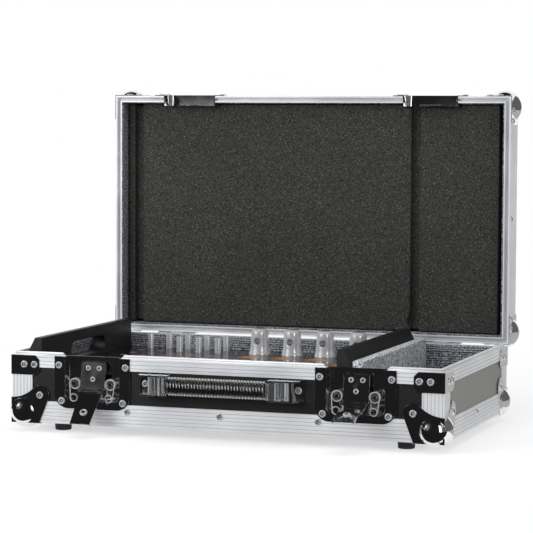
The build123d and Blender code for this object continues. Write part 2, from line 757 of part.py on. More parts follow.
def make_hinges():
    """Two stop hinges: a leaf on the base and one on the lid, whose heel stops the lid when it is open."""
    wall = case_depth / 2
    leaf = wall + hinge_leaf
    low = hinge_z - hinge_leaf_drop - hinge_leaf_height
    part = hinge_knuckle_width / 2
    outer = [(-hinge_width / 2, -part - hinge_gap / 2), (part + hinge_gap / 2, hinge_width / 2)]
    inner = [(-part + hinge_gap / 2, part - hinge_gap / 2)]
    down = [(wall, hinge_z - hinge_web), (leaf, hinge_z - hinge_web), (hinge_y, hinge_z - hinge_knuckle)]
    down += [(hinge_y, hinge_z), (hinge_y - hinge_knuckle, hinge_z), (wall, hinge_z - hinge_leaf_drop)]
    up = [(wall, lid_rim), (wall, lid_rim + hinge_web), (leaf, lid_rim + hinge_web)]
    up += [(hinge_y, hinge_z + hinge_knuckle), (hinge_y, hinge_z), (hinge_y - hinge_knuckle, hinge_z)]
    turn_back = Pos(0, hinge_y, hinge_z) * Rot(90, 0, 0) * Pos(0, -hinge_y, -hinge_z)
    for way in (-1, 1):
        x = way * hinge_x
        half = hinge_width / 2
        ends = [(x + side * (half + 5), hinge_y, hinge_z) for side in (-1, 1)]
        bore = rod(hinge_pin + hinge_pin_clear, *ends)
        base = box((x - half, x + half), (wall, leaf), (low, hinge_z - hinge_leaf_drop))
        base += box((x - half, x + half), (wall - edge, wall), (low, split - rail_leg))
        for shape in knuckles(x, outer, down):
            base += shape
        add("hinge_base_leaves", base - bore)
        lid = box((x - half, x + half), (wall, leaf), (lid_rim, lid_rim + hinge_leaf_height))
        for shape in knuckles(x, inner, up):
            lid += shape
        near, far = inner[0]
        stop = box((x + near, x + far), (leaf + hinge_gap, hinge_y + 1.5), (hinge_z - hinge_heel, hinge_z))
        lid += turn_back * stop
        add_lid("hinge_lid_leaves", lid - bore)
        add("hinge_pins", rod(hinge_pin, (x - half - 1, hinge_y, hinge_z), (x + half + 1, hinge_y, hinge_z)))
        for dx in (-hinge_rivet_x, 0, hinge_rivet_x):
            add("base_rivets", rivet((x + dx, leaf, hinge_z - hinge_rivet_z - 2), (0, 1, 0), 2.6))
            add_lid("lid_rivets", rivet((x + dx, leaf, lid_rim + hinge_rivet_z), (0, 1, 0), 2.6))


def make_feet():
    """Four rubber feet with a screw up through each."""
    x, y = case_width / 2 - foot_inset_x, case_depth / 2 - foot_inset_y
    radius, hole = foot_radius, foot_hole
    profile = [(foot_bore, foot_seat), (hole, foot_seat), (hole, 0), (radius - 1.5, 0), (radius - 0.8, 1)]
    profile += [(radius, foot_height), (foot_bore, foot_height)]
    foot = revolve(Plane.XZ * make_face(Polyline(*profile, close=True)), axis=Axis.Z)
    add("feet", four_corners(Pos(x, -y, 0) * foot))
    shank = Pos(0, 0, foot_seat + foot_screw / 2) * Cylinder(foot_bore, foot_screw)
    head = Pos(0, 0, foot_seat - foot_screw_head / 2) * Cylinder(hole - 1, foot_screw_head)
    add("foot_screws", four_corners(Pos(x, -y, 0) * (head + shank)))


def make_base_lining():
    """Felt on the floor and the walls of the base, and the felt covered divider of the side compartment."""
    x, y = case_width / 2 - wall_inner, case_depth / 2 - wall_inner
    low, high = edge_bottom + wall_inner, split - base_felt_top
    add("base_felt", box((-x, x), (-y, y), (low, floor_top)))
    cuts = base_cuts(panel_cut_clear)
    add("base_felt", cut_all(box((-x, x), (-y, -y + felt), (floor_top, high)), cuts))
    add("base_felt", box((-x, x), (y - felt, y), (floor_top, high)))
    for way in (-1, 1):
        add("base_felt", box((way * (x - felt), way * x), (-y + felt, y - felt), (floor_top, high)))
    divider = box((divider_from, divider_to), (-y + felt, y - felt), (floor_top, split + divider_rise))
    add("compartment_divider", cut_all(divider, cuts))


def tray_panel(inner, way):
    """An end panel of the tray: sloped outside near its top, with a rounded hand hole."""
    low, high = floor_top + seat_gap, split + tray_rise
    outer, top = inner + way * tray_panel_base, inner + way * tray_panel_top
    points = [(inner, low), (outer, low), (outer, high - tray_slope_height), (top, high), (inner, high)]
    panel = outline_y(points, -tray_half, tray_half)
    middle = board_top + hand_hole_rise + hand_hole_height / 2
    hole = RectangleRounded(hand_hole_length, hand_hole_height, hand_hole_corner)
    place = Plane(origin=(inner - 3 * tray_panel_base, 0, middle), x_dir=(0, 1, 0), z_dir=(1, 0, 0))
    return panel - place * extrude(hole, amount=6 * tray_panel_base)


def big_places():
    """Centres of the large holes, row by row from the back."""
    across = [big_first_x + i * big_pitch for i in range(big_columns)]
    return [(x, big_last_y - j * big_pitch) for j in range(big_rows) for x in across]


def small_places():
    """Centres of the small holes, row by row from the back."""
    across = [small_first_x + i * small_pitch_x for i in range(small_columns)]
    return [(x, small_last_y - j * small_pitch_y) for j in range(small_rows) for x in across]


def make_tray():
    """The lift-out tray: a drilled board and a lower deck between two end panels."""
    across = (tray_inner_left, tray_inner_right)
    along = (-tray_half, tray_half)
    board_shape = box(across, along, (board_top - tray_board, board_top))
    places = [(x, y, big_hole) for x, y in big_places()] + [(x, y, small_hole) for x, y in small_places()]
    for x, y, radius in places:
        board_shape -= Pos(x, y, board_top) * Cylinder(radius, 3 * tray_board)
    add("tray_board", board_shape)
    add("tray_lower_deck", box(across, along, (deck_top - deck_board, deck_top)))
    add("tray_left_panel", tray_panel(tray_inner_left, -1))
    add("tray_right_panel", tray_panel(tray_inner_right, 1))
    heights = (board_top - tray_board / 2, deck_top - deck_board / 2)
    for y in tray_screw_y:
        for z in heights:
            for inner, way in ((tray_inner_left, -1), (tray_inner_right, 1)):
                add("tray_screws", tray_screw(inner + way * tray_panel_base, way, y, z))


def tray_screw(x, way, y, z):
    """A screw through an end panel into the end grain of a board."""
    place = Plane(origin=(x, y, z), z_dir=(way, 0, 0))
    reach = tray_panel_base + 12
    return place * (dome(tray_screw_radius, tray_screw_rise) + Pos(0, 0, -reach / 2) * Cylinder(1.5, reach))


def make_spigots():
    """Four turned adapters in the back row of large holes, cross drilled and bored from the top."""
    low, high = deck_top + seat_gap, board_top + spigot_above
    shoulder = board_top + spigot_shoulder_rise
    bore = high - spigot_bore_depth
    profile = [(0, low), (spigot_foot - 0.5, low), (spigot_foot, low + 0.5), (spigot_foot, board_top + 1)]
    profile += [(spigot_shoulder, shoulder), (spigot_head, high - 5), (spigot_head, high - 1.2)]
    profile += [(spigot_head - 1.2, high), (spigot_bore, high), (spigot_bore, bore), (0, bore)]
    turned = revolve(Plane.XZ * make_face(Polyline(*profile, close=True)), axis=Axis.Z)
    cross = board_top + spigot_cross_rise
    turned -= rod(spigot_cross_hole, (0, -30, cross), (0, 30, cross))
    for i, (x, y) in enumerate(big_places()[:big_columns]):
        add(f"spigot_{i + 1}", Pos(x, y, 0) * turned)


def make_pins():
    """Plain round pins standing in some of the small holes."""
    low, high = deck_top + seat_gap, board_top + pin_above
    radius, c = pin_radius, pin_chamfer
    profile = [(0, low), (radius - c, low), (radius, low + c)]
    profile += [(radius, high - c), (radius - c, high), (0, high)]
    pin = revolve(Plane.XZ * make_face(Polyline(*profile, close=True)), axis=Axis.Z)
    for i, (column, row) in enumerate(pin_places):
        x, y = small_places()[row * small_columns + column]
        add(f"pin_{i + 1}", Pos(x, y, 0) * pin)


def make_lid_boards():
    """The lid's board and walls, shut."""
    half_x = case_width / 2 - edge
    half_y = case_depth / 2 - edge
    inner_x, inner_y = half_x - board, half_y - board
    low, high = lid_rim + groove_depth + rail_web, lid_top - edge - board
    add_lid("lid_panel", box((-half_x, half_x), (-half_y, half_y), (high, lid_top - edge)))
    front_wall = cut_all(box((-half_x, half_x), (-half_y, -inner_y), (low, high)), lid_cuts(panel_cut_clear))
    add_lid("lid_walls", [front_wall, box((-half_x, half_x), (inner_y, half_y), (low, high))])
    for way in (-1, 1):
        add_lid("lid_walls", box((way * inner_x, way * half_x), (-inner_y, inner_y), (low, high)))


def make_lid_metal():
    """The lid's edging and its closing rails, shut."""
    for name, (place, length) in sides(case_width, case_depth).items():
        section = angle_section(lid_top, lid_height - rail_leg, edge_leg, -1)
        angle = place * mitred_bar(section, length, edge_leg)
        rail = place * mitred_bar(female_section(), length, rail_width)
        if name == "front":
            angle = cut_all(angle, lid_cuts(panel_cut_clear))
            rail = cut_all(rail, rail_gaps(lid_rim - 1, lid_rim + rail_leg, lid_rim + rail_leg + 1))
        add_lid("lid_edging", angle)
        add_lid("lid_closing_rails", rail)


def make_lid_lining():
    """Felt round the lid's walls and a foam slab with two grooves for the tops of the tray's end panels."""
    x, y = case_width / 2 - wall_inner, case_depth / 2 - wall_inner
    low, high = lid_rim + lid_felt_from, lid_top - edge - board
    cuts = lid_cuts(panel_cut_clear)
    add_lid("lid_felt", cut_all(box((-x, x), (-y, -y + felt), (low, high)), cuts))
    add_lid("lid_felt", box((-x, x), (y - felt, y), (low, high)))
    for way in (-1, 1):
        add_lid("lid_felt", box((way * (x - felt), way * x), (-y + felt, y - felt), (low, high)))
    along = (-y + felt + foam_gap, y - felt - foam_gap)
    top_left = tray_inner_left - tray_panel_top
    top_right = tray_inner_right + tray_panel_top
    blocks = [
        (foam_left_gap - inner_x, top_left - foam_groove_gap),
        (tray_inner_left + foam_gap, tray_inner_right - foam_gap),
        (top_right + foam_groove_gap, inner_x - foam_right_gap),
    ]
    for across in blocks:
        add_lid("lid_foam", cut_all(box(across, along, (lid_rim + foam_recess, high)), cuts))


make_base_boards()
make_base_edging()
make_closing_rails()
make_corner_plates()
make_ball_corners()
make_rail_screws()
make_dishes()
make_latches()
make_handle()
make_hinges()
make_feet()
make_base_lining()
make_tray()
make_spigots()
make_pins()
make_lid_boards()
make_lid_metal()
make_lid_lining()

for node, solids in parts.items():
    shape = solids[0] if len(solids) == 1 else Compound(solids)
    export_step(shape, f"parts/{node}.step")
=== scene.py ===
import math

import bmesh
import bpy
from mathutils import Matrix, Vector


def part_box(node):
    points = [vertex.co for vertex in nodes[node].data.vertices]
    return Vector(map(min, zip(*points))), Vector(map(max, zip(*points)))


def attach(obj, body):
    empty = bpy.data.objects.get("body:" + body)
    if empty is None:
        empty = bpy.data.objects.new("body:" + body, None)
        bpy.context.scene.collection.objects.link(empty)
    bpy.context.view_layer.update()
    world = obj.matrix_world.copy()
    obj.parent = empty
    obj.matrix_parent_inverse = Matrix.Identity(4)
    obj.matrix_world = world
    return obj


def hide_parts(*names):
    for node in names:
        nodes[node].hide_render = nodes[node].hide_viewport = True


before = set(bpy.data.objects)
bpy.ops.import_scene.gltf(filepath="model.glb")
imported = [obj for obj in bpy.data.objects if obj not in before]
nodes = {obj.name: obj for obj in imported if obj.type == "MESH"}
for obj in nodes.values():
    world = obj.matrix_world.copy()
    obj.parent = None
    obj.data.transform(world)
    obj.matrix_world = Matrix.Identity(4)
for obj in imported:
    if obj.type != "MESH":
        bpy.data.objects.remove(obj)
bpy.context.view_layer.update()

bpy.ops.object.select_all(action="DESELECT")

# The room: a white floor and backdrop, and soft studio light from above and both sides. Dark, grey and white
# cards that only polished surfaces see make flat plated faces go black and edges bright, as in the photograph.


def new_material(name, roughness=0.5, metallic=0.0, specular=0.5):
    """A node material with a Principled shader; returns the material, its nodes, its links and the shader."""
    made = bpy.data.materials.new(name)
    made.use_nodes = True
    tree = made.node_tree
    shader = tree.nodes["Principled BSDF"]
    shader.inputs["Roughness"].default_value = roughness
    shader.inputs["Metallic"].default_value = metallic
    shader.inputs["Specular IOR Level"].default_value = specular
    return made, tree.nodes, tree.links, shader


def paint(piece, *materials):
    """Gives a piece its materials."""
    if piece.data.materials:
        piece.data.materials.clear()
    for each in materials:
        piece.data.materials.append(each)


def placed(name, data):
    """A new object in the scene that holds the data."""
    made = bpy.data.objects.new(name, data)
    bpy.context.scene.collection.objects.link(made)
    return made


def take_up(piece):
    """Makes a piece the active one and the only one selected, as the operators need."""
    bpy.ops.object.select_all(action="DESELECT")
    piece.select_set(True)
    bpy.context.view_layer.objects.active = piece


def value_node(tree_nodes, operation, second=None):
    """A Math node, with its second value filled in if there is one."""
    made = tree_nodes.new("ShaderNodeMath")
    made.operation = operation
    if second is not None:
        made.inputs[1].default_value = second
    return made


def rays_of(tree_nodes, links, *kinds):
    """A value that is 1 for rays of any of the given kinds."""
    path = tree_nodes.new("ShaderNodeLightPath")
    found = path.outputs[kinds[0]]
    for kind in kinds[1:]:
        made = value_node(tree_nodes, "MAXIMUM")
        links.new(found, made.inputs[0])
        links.new(path.outputs[kind], made.inputs[1])
        found = made.outputs[0]
    return found


def rescale(tree_nodes, links, source, limits=(0, 1), onto=(0, 1), eased=False):
    """A value between two limits, laid onto two others."""
    made = tree_nodes.new("ShaderNodeMapRange")
    made.interpolation_type = "SMOOTHSTEP" if eased else "LINEAR"
    made.inputs["From Min"].default_value, made.inputs["From Max"].default_value = limits
    made.inputs["To Min"].default_value, made.inputs["To Max"].default_value = onto
    links.new(source, made.inputs["Value"])
    return made.outputs[0]


bpy.context.scene.view_settings.view_transform = "Standard"
room = bpy.data.worlds.new("studio")
bpy.context.scene.world = room
room.use_nodes = True
room_nodes, room_links = room.node_tree.nodes, room.node_tree.links
soft_sky = room_nodes["Background"]
soft_sky.inputs["Color"].default_value = (0.93, 0.95, 1.0, 1)
soft_sky.inputs["Strength"].default_value = 0.62
white_sky = room_nodes.new("ShaderNodeBackground")
white_sky.inputs["Color"].default_value = (1, 1, 1, 1)
white_sky.inputs["Strength"].default_value = 1.0
sees_white = rays_of(room_nodes, room_links, "Is Camera Ray", "Is Transmission Ray", "Is Glossy Ray")
sky_mix = room_nodes.new("ShaderNodeMixShader")
room_links.new(sees_white, sky_mix.inputs["Fac"])
room_links.new(soft_sky.outputs[0], sky_mix.inputs[1])
room_links.new(white_sky.outputs[0], sky_mix.inputs[2])
room_links.new(sky_mix.outputs[0], room_nodes["World Output"].inputs["Surface"])

FLOOR_SIZE = 14
bpy.ops.mesh.primitive_plane_add(size=FLOOR_SIZE, location=(0, 0, 0))
floor = bpy.context.object
floor.name = "studio_floor"
floor_white, floor_nodes, floor_links, floor_shader = new_material("floor_white", roughness=1.0, specular=0.0)
floor_shader.inputs["Base Color"].default_value = (0.96, 0.96, 0.96, 1)
floor_glow = floor_nodes.new("ShaderNodeEmission")
floor_glow.inputs["Strength"].default_value = 1.0
floor_seen = rays_of(floor_nodes, floor_links, "Is Camera Ray", "Is Glossy Ray")
floor_place = floor_nodes.new("ShaderNodeTexCoord")
floor_reach = floor_nodes.new("ShaderNodeVectorMath")
floor_reach.operation = "LENGTH"
floor_links.new(floor_place.outputs["Object"], floor_reach.inputs[0])
floor_fade = rescale(floor_nodes, floor_links, floor_reach.outputs["Value"], (0.45, 1.1), (0.6, 1))
floor_share = value_node(floor_nodes, "MULTIPLY")
floor_links.new(floor_seen, floor_share.inputs[0])
floor_links.new(floor_fade, floor_share.inputs[1])
floor_mix = floor_nodes.new("ShaderNodeMixShader")
floor_links.new(floor_share.outputs[0], floor_mix.inputs["Fac"])
floor_links.new(floor_shader.outputs[0], floor_mix.inputs[1])
floor_links.new(floor_glow.outputs[0], floor_mix.inputs[2])
floor_links.new(floor_mix.outputs[0], floor_nodes["Material Output"].inputs["Surface"])
paint(floor, floor_white)


def lamp(name, place, aim, size, power, tint):
    """A soft rectangular lamp at a place, turned to what it lights."""
    light = bpy.data.lights.new(name, "AREA")
    light.shape = "RECTANGLE"
    light.size, light.size_y = size
    light.energy = power
    light.color = tint
    holder = placed(name, light)
    holder.location = place
    holder.rotation_euler = (Vector(aim) - Vector(place)).to_track_quat("-Z", "Y").to_euler()
    return holder


overhead = lamp("overhead_softbox", (0.2, -0.3, 2.6), (0, 0, 0), (2.6, 2.0), 34, (1.0, 0.99, 0.97))
overhead.visible_glossy = False
lamp("left_softbox", (-1.9, -2.2, 1.3), (0, 0, 0.2), (1.4, 1.6), 48, (0.97, 0.98, 1.0))
lamp("right_softbox", (2.6, -0.8, 1.1), (0, 0, 0.2), (1.4, 1.6), 4, (1.0, 0.98, 0.95))

NEUTRAL, WARM = (1, 1, 1), (1, 1, 0.98)
DARK_CARD = 0.012


def reflection_card(name, strength, tint, *corners):
    """A flat card with four corners that lights nothing and shows only in polished surfaces."""
    mesh = bpy.data.meshes.new(name)
    mesh.from_pydata(corners, [], [(0, 1, 2, 3)])
    card = placed(name, mesh)
    made, card_nodes, card_links, _ = new_material(name)
    glow = card_nodes.new("ShaderNodeEmission")
    glow.inputs["Color"].default_value = (*tint, 1)
    glow.inputs["Strength"].default_value = strength
    card_links.new(glow.outputs[0], card_nodes["Material Output"].inputs["Surface"])
    paint(card, made)
    card.visible_camera = False
    card.visible_diffuse = False
    card.visible_shadow = False
    card.visible_transmission = False
    card.visible_volume_scatter = False


reflection_card("dark_card_front", DARK_CARD, NEUTRAL,
                (-3, -1.3, 0), (2.2, -1.3, 0), (2.2, -1.6, 2.9), (-3, -1.6, 2.9))
reflection_card("dark_card_left", DARK_CARD, NEUTRAL,
                (-3, -1.3, 0), (-3, 0.6, 0), (-3, 0.6, 2.9), (-3, -1.6, 2.9))
reflection_card("dark_card_top", DARK_CARD, NEUTRAL,
                (-3, -1.6, 2.9), (2.2, -1.6, 2.9), (2.2, 1.6, 2.9), (-3, 1.6, 2.9))
reflection_card("white_card_right", 2.6, NEUTRAL,
                (1.1, -1.22, 0.01), (1.65, -1.22, 0.01), (1.65, -1.28, 1.2), (1.1, -1.28, 1.2))
reflection_card("white_card_left", 1.0, NEUTRAL,
                (-1.75, -1.22, 0.6), (-1.15, -1.22, 0.6), (-1.15, -1.28, 1.2), (-1.75, -1.28, 1.2))
reflection_card("grey_card_right", 0.12, WARM,
                (1.9, -1.2, 0), (1.9, 4.6, 0), (2.1, 4.6, 2.9), (2.1, -1.2, 2.9))
reflection_card("grey_card_low", 0.45, WARM,
                (0.34, -0.1, 0.002), (2.2, -0.1, 0.002), (2.2, 3.5, 0.002), (0.34, 3.5, 0.002))
reflection_card("dark_card_low", DARK_CARD, NEUTRAL,
                (-3, -0.186, 0.002), (2.2, -0.186, 0.002), (2.2, -1.3, 0.002), (-3, -1.3, 0.002))

# The camera stands to the right of the case and a little above its rim, with a long lens.
CAMERA_PLACE = (1.0074, -2.9130, 0.4318)
CAMERA_YAW, CAMERA_PITCH, CAMERA_ROLL = 19.05, -3.88, 0.27
FOCAL_PIXELS, PICTURE_WIDTH, SENSOR = 2210.9, 533, 36.0
camera_data = bpy.data.cameras.new("camera")
camera_data.sensor_width = SENSOR
camera_data.lens = FOCAL_PIXELS / PICTURE_WIDTH * SENSOR
camera_data.clip_end = 50
camera = placed("camera", camera_data)
turn = Matrix.Rotation(math.radians(CAMERA_YAW), 4, "Z")
turn = turn @ Matrix.Rotation(math.radians(90 + CAMERA_PITCH), 4, "X")
turn = turn @ Matrix.Rotation(math.radians(CAMERA_ROLL), 4, "Z")
camera.matrix_world = Matrix.Translation(CAMERA_PLACE) @ turn
bpy.context.scene.camera = camera

# Aluminium edging and closing rails: natural anodised extrusion, mitred at the corners and riveted through
# the boards. Fine ridges run along each bar, with their grooves painted darker as painted shade over a bump,
# so each bar keeps a distance across itself for the pattern.

MM = 0.001
WELD_REACH, FLAT_BELOW, ROUND_ABOVE, SMOOTH_BELOW = 1e-5, 0.6, 30, 40


def dressed(node, name, body, material, round_mm=0.3, steps=2):
    """A copy of a CAD node with its triangles joined up and its edges rounded, which stands for the node."""
    piece = nodes[node].copy()
    piece.data = nodes[node].data.copy()
    piece.name = name
    piece.parent = None
    for key in list(piece.keys()):
        del piece[key]
    bpy.context.scene.collection.objects.link(piece)
    take_up(piece)
    bpy.ops.object.mode_set(mode="EDIT")
    bpy.ops.mesh.select_all(action="SELECT")
    bpy.ops.mesh.remove_doubles(threshold=WELD_REACH)
    bpy.ops.mesh.dissolve_limited(angle_limit=math.radians(FLAT_BELOW))
    bpy.ops.object.mode_set(mode="OBJECT")
    bpy.ops.object.shade_smooth_by_angle(angle=math.radians(SMOOTH_BELOW))
    rounding = piece.modifiers.new("rounding", "BEVEL")
    rounding.width = round_mm * MM
    rounding.segments = steps
    rounding.limit_method = "ANGLE"
    rounding.angle_limit = math.radians(ROUND_ABOVE)
    rounding.use_clamp_overlap = False
    rounding.miter_outer = "MITER_ARC"
    rounding.harden_normals = True
    bpy.ops.object.modifier_apply(modifier="rounding")
    bpy.ops.object.shade_smooth_by_angle(angle=math.radians(SMOOTH_BELOW))
    paint(piece, material)
    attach(piece, body)
    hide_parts(node)
    return piece


def mark_across(piece, half_x, half_y, flip=False):
    """Stores on each face how far across its bar it lies, in millimetres, for the ridges."""
    mesh = piece.data
    layer = mesh.attributes.new("across", "FLOAT", "CORNER")
    for face in mesh.polygons:
        normal, middle = face.normal, face.center
        x = middle.x
        y = middle.z - LID_MIDDLE if flip else middle.y
        flat_side = abs(normal.y if flip else normal.z) > MOSTLY
        along_x = half_y - abs(y) < half_x - abs(x)
        for corner in face.loop_indices:
            spot = mesh.vertices[mesh.loops[corner].vertex_index].co
            px, py, pz = (spot.x, spot.z - LID_MIDDLE, spot.y) if flip else (spot.x, spot.y, spot.z)
            if not flat_side:
                value = pz
            elif along_x:
                value = half_y - abs(py)
            else:
                value = half_x - abs(px)
            layer.data[corner].value = value / MM


def noise(tree_nodes, links, place, scale, detail=2.0):
    """Cloudy noise at a place; returns its value."""
    made = tree_nodes.new("ShaderNodeTexNoise")
    made.inputs["Scale"].default_value = scale
    made.inputs["Detail"].default_value = detail
    links.new(place, made.inputs["Vector"])
    return made.outputs["Fac"]


def tones(tree_nodes, links, factor, low, high):
    """A node that mixes two tones by a factor."""
    made = tree_nodes.new("ShaderNodeMix")
    made.data_type = "RGBA"
    made.inputs[6].default_value = (*low, 1)
    made.inputs[7].default_value = (*high, 1)
    links.new(factor, made.inputs["Factor"])
    return made


def shaded(tree_nodes, links, colour, factor):
    """A colour made darker or lighter by a factor."""
    made = tree_nodes.new("ShaderNodeVectorMath")
    made.operation = "SCALE"
    links.new(colour, made.inputs[0])
    links.new(factor, made.inputs["Scale"])
    return made.outputs[0]


def relief(tree_nodes, links, shader, height, strength, depth_mm):
    """Gives a shader fine relief from a height."""
    bump = tree_nodes.new("ShaderNodeBump")
    bump.inputs["Strength"].default_value = strength
    bump.inputs["Distance"].default_value = depth_mm * MM
    links.new(height, bump.inputs["Height"])
    links.new(bump.outputs["Normal"], shader.inputs["Normal"])


def ridged(name, pitch, low, high, depth_mm):
    """Metal with painted shade in thin lines along a bar, from its across attribute, over drawn streaks and
    wear.
    """
    made, tree_nodes, links, shader = new_material(name, roughness=0.42, metallic=0.3)
    across = tree_nodes.new("ShaderNodeAttribute")
    across.attribute_name = "across"
    share = value_node(tree_nodes, "DIVIDE", pitch)
    saw = value_node(tree_nodes, "FRACT")
    off = value_node(tree_nodes, "SUBTRACT", 0.5)
    size = value_node(tree_nodes, "ABSOLUTE")
    links.new(across.outputs["Fac"], share.inputs[0])
    links.new(share.outputs[0], saw.inputs[0])
    links.new(saw.outputs[0], off.inputs[0])
    links.new(off.outputs[0], size.inputs[0])
    # The darker tone of each thin line is painted shade for a ridge groove; the same line also drives the
    # bump.
    line = rescale(tree_nodes, links, size.outputs[0], (0.03, 0.15), eased=True)
    streaks = tree_nodes.new("ShaderNodeTexNoise")
    streaks.noise_dimensions = "1D"
    streaks.inputs["Scale"].default_value = 0.9
    streaks.inputs["Detail"].default_value = 6
    links.new(across.outputs["Fac"], streaks.inputs["W"])
    place = tree_nodes.new("ShaderNodeTexCoord")
    cloud = noise(tree_nodes, links, place.outputs["Object"], 18, 6)
    worn = value_node(tree_nodes, "MULTIPLY")
    links.new(streaks.outputs["Fac"], worn.inputs[0])
    links.new(cloud, worn.inputs[1])
    wear = rescale(tree_nodes, links, worn.outputs[0], (0.1, 0.42), (0.78, 1.06))
    tone = tones(tree_nodes, links, line, low, high)
    links.new(shaded(tree_nodes, links, tone.outputs[2], wear), shader.inputs["Base Color"])
    relief(tree_nodes, links, shader, line, 0.6, depth_mm)
    return made


HALF_X, HALF_Y = 0.305, 0.1775
LID_MIDDLE = (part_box("lid_edging")[0].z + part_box("lid_edging")[1].z) / 2
MOSTLY = 0.7
RIDGE_PITCH = 5.0
# The low tone is the painted shade in the ridge grooves, the high tone the bare aluminium.
edging = ridged("ridged_aluminium", RIDGE_PITCH, (0.50, 0.505, 0.51), (0.84, 0.85, 0.86), 0.25)

bottom_edging = dressed("base_bottom_edging", "bottom_edging", "base", edging, 0.35)
corner_edging = dressed("base_corner_edging", "corner_edging", "base", edging, 0.35)
closing_rails = dressed("base_closing_rails", "closing_rails", "base", edging)
lid_edging = dressed("lid_edging", "lid_outer_edging", "lid", edging, 0.35)
lid_rails = dressed("lid_closing_rails", "lid_rim_rails", "lid", edging)
for bars in (bottom_edging, closing_rails):
    mark_across(bars, HALF_X, HALF_Y)
for bars in (lid_edging, lid_rails):
    mark_across(bars, HALF_X, HALF_Y, flip=True)
upright = corner_edging.data.attributes.new("across", "FLOAT", "CORNER")
for face in corner_edging.data.polygons:
    sideways = abs(face.normal.x) > MOSTLY
    for corner in face.loop_indices:
        spot = corner_edging.data.vertices[corner_edging.data.loops[corner].vertex_index].co
        upright.data[corner].value = ((HALF_Y - abs(spot.y)) if sideways else (HALF_X - abs(spot.x))) / MM

# Panels: 7 mm plywood faced with black laminate, cut square and held in the edging. The right end wall is
# painted in a lighter grey speckle than the other panels.


def ribs_over(tree_nodes, links, place, grain, rows):
    """A grain with soft ribs over it, a number of millimetres apart."""
    wave = tree_nodes.new("ShaderNodeTexWave")
    wave.bands_direction = "Z"
    wave.inputs["Scale"].default_value = math.pi / (10 * rows * MM)
    wave.inputs["Distortion"].default_value = 2.5
    wave.inputs["Detail"].default_value = 2.0
    wave.inputs["Detail Scale"].default_value = 1.5
    links.new(place, wave.inputs["Vector"])
    ribs = value_node(tree_nodes, "MULTIPLY_ADD", 0.16)
    links.new(wave.outputs["Fac"], ribs.inputs[0])
    links.new(grain, ribs.inputs[2])
    lower = value_node(tree_nodes, "SUBTRACT", 0.08)
    links.new(ribs.outputs[0], lower.inputs[0])
    return lower.outputs[0]


def speckled(name, low, high, scale, depth_mm, roughness, specular=0.5, detail=3, width=(0.35, 0.7), rows=0):
    """A dull surface in fine grains between two tones, with relief to match and ribs if asked."""
    made, tree_nodes, links, shader = new_material(name, roughness=roughness, specular=specular)
    place = tree_nodes.new("ShaderNodeTexCoord").outputs["Object"]
    height = noise(tree_nodes, links, place, scale, detail)
    if rows:
        height = ribs_over(tree_nodes, links, place, height, rows)
    tone = tones(tree_nodes, links, rescale(tree_nodes, links, height, width), low, high)
    links.new(tone.outputs[2], shader.inputs["Base Color"])
    relief(tree_nodes, links, shader, height, 0.6, depth_mm)
    return made


laminate = speckled("black_laminate", (0.007, 0.007, 0.006), (0.02, 0.02, 0.018), 700, 0.12, 0.42)
BLACK_PANELS = ("base_bottom_panel", "base_front_panel", "base_back_panel", "base_left_panel",
                "lid_panel", "lid_walls")
for node in BLACK_PANELS:
    paint(nodes[node], laminate)
side_laminate = speckled("side_laminate", (0.20, 0.195, 0.18), (0.27, 0.262, 0.24), 260, 0.1, 0.5,
                         detail=8.0, width=(0.3, 0.75))
paint(nodes["base_right_panel"], side_laminate)

# Corner plates and ball corners: pressed steel, bright nickel plated, riveted over the edging at every
# corner. The balls are part of the pressing and take the knocks.

plated, plated_nodes, plated_links, plated_shader = new_material("bright_plate", metallic=1.0)
plated_shader.inputs["Base Color"].default_value = (0.84, 0.85, 0.86, 1)
plated_place = plated_nodes.new("ShaderNodeTexCoord")
plated_cloud = noise(plated_nodes, plated_links, plated_place.outputs["Object"], 45)
plated_polish = rescale(plated_nodes, plated_links, plated_cloud, onto=(0.05, 0.13))
plated_links.new(plated_polish, plated_shader.inputs["Roughness"])
relief(plated_nodes, plated_links, plated_shader, plated_cloud, 0.3, 0.12)

dressed("base_top_corners", "top_corner_plates", "base", plated, 0.5, 3)
dressed("base_ball_corners", "ball_corners", "base", plated, 0.5, 3)
dressed("lid_ball_corners", "lid_balls", "lid", plated, 0.5, 3)

# Rivets and screws: satin drive rivets with a hollow round a small dot in the head; the hollow is painted
# near black as painted shade. One head is turned, and a copy sits wherever the CAD part has a rivet.

HEAD_PROFILE = [(1.0, 0.0), (0.985, 0.14), (0.93, 0.27), (0.82, 0.36), (0.68, 0.40), (0.56, 0.38)]
HEAD_PROFILE += [(0.49, 0.33), (0.45, 0.16), (0.30, 0.12), (0.25, 0.2), (0.12, 0.27), (0.0, 0.28)]
HEAD_STEPS, HEAD_RADIUS, HEAD_SMOOTH = 28, 4.9, 35
HOLLOW_INNER, HOLLOW_OUTER, HOLLOW_TOP = 0.27, 0.48, 0.3
HEAD_RIM = 0.93


def mottled(name, low, high, scale, polish, metallic=1.0):
    """A surface with a soft mottle between two tones and between two degrees of roughness."""
    made, tree_nodes, links, shader = new_material(name, metallic=metallic)
    place = tree_nodes.new("ShaderNodeTexCoord")
    cloud = noise(tree_nodes, links, place.outputs["Object"], scale, 4)
    links.new(tones(tree_nodes, links, cloud, low, high).outputs[2], shader.inputs["Base Color"])
    links.new(rescale(tree_nodes, links, cloud, onto=polish), shader.inputs["Roughness"])
    return made


rivet_steel = mottled("satin_rivet", (0.80, 0.81, 0.82), (0.97, 0.97, 0.97), 300, (0.16, 0.3), 0.7)
# The hollow round the dot in each head is painted near black: painted shade.
painted_hollow_shade = mottled("rivet_hollow_painted_shade", (0.03, 0.03, 0.03), (0.08, 0.08, 0.08), 300, (0.5, 0.5), 0.8)


